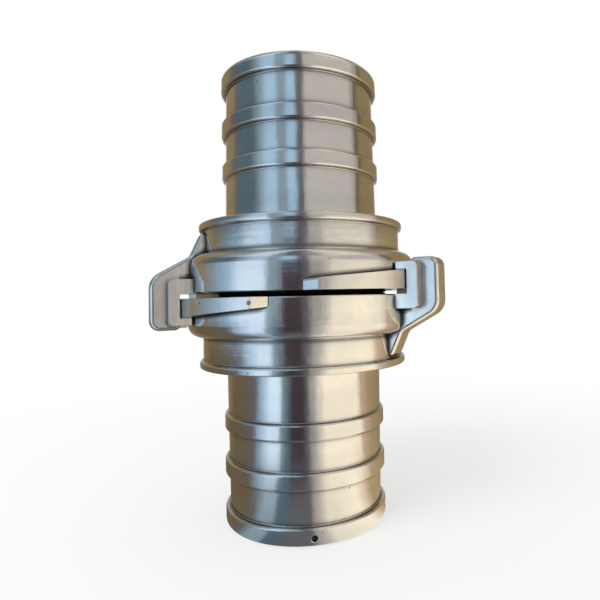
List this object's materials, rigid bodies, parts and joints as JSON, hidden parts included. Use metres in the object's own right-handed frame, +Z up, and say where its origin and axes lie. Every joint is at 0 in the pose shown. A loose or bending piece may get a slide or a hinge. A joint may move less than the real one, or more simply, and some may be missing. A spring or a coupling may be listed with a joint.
{
  "type": "quarter turn fire hose coupling",
  "caption": "Pair of identical two-claw hose couplings locked together: ribbed tails, swivelling claw rings with inclined ledges that draw together by a quarter turn.",
  "frame": {"origin": "centre of the lower tail's end rim, on the surface it stands on", "axes": "+Z up along the common axis of both halves; -Y faces the viewer of the picture; the claws stand at 19.4 and 199.4 degrees (upper ring) and 149.4 and 329.4 degrees (lower ring) from +X"},
  "size_m": [0.1182, 0.1024, 0.182],
  "materials": {
    "tail_aluminium": "machined, fine circumferential tool lines",
    "ring_aluminium": "polished casting with small pits",
    "seal_rubber": "matte",
    "spring_wire": "drawn wire"
  },
  "bodies": {
    "lower_tail": {"lower_hose_tail": "tail_aluminium", "lower_seal_ring": "seal_rubber", "lower_snap_ring": "spring_wire"},
    "lower_ring": {"lower_claw_ring": "ring_aluminium"},
    "upper_ring": {"upper_claw_ring": "ring_aluminium"},
    "upper_tail": {"upper_hose_tail": "tail_aluminium", "upper_seal_ring": "seal_rubber", "upper_snap_ring": "spring_wire"}
  },
  "joints": [
    {"name": "lower_swivel", "type": "hinge", "parent": "lower_tail", "child": "lower_ring", "pos_m": [0, 0, 0.078], "axis": [0, 0, 1], "continuous": true},
    {"name": "quarter_turn", "type": "hinge", "parent": "lower_ring", "child": "upper_ring", "pos_m": [0, 0, 0.091], "axis": [0, 0, 1], "range_deg": [0, 90]},
    {"name": "upper_swivel", "type": "hinge", "parent": "upper_ring", "child": "upper_tail", "pos_m": [0, 0, 0.104], "axis": [0, 0, 1], "continuous": true}
  ]
}
